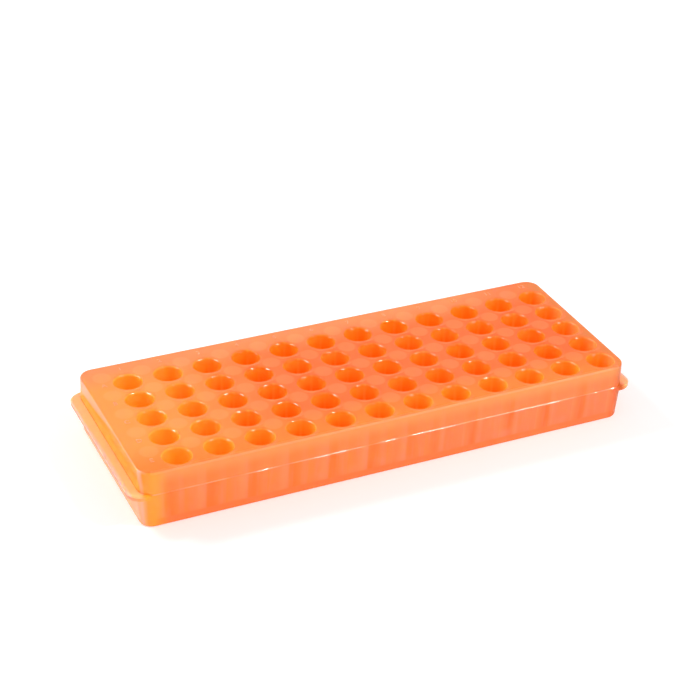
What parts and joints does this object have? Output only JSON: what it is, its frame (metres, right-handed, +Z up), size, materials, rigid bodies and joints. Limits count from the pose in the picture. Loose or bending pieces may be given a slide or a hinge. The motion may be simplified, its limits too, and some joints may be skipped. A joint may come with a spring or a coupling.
{
  "type": "microcentrifuge tube rack",
  "caption": "Low reversible rack moulded in one piece, with large wells in the top, small wells in the underside and a grip flange at each end.",
  "frame": {"origin": "centre of the footprint, on the surface that the rack stands on", "axes": "+X along the rack, from the end with column 1 to the end with column 12, +Y from the front to the back, +Z up out of the large wells"},
  "size_m": [0.2214, 0.08, 0.0254],
  "materials": {
    "orange_plastic": "translucent orange polypropylene, moulded smooth and glossy"
  },
  "bodies": {
    "root": {"rack": "orange_plastic"}
  },
  "joints": []
}
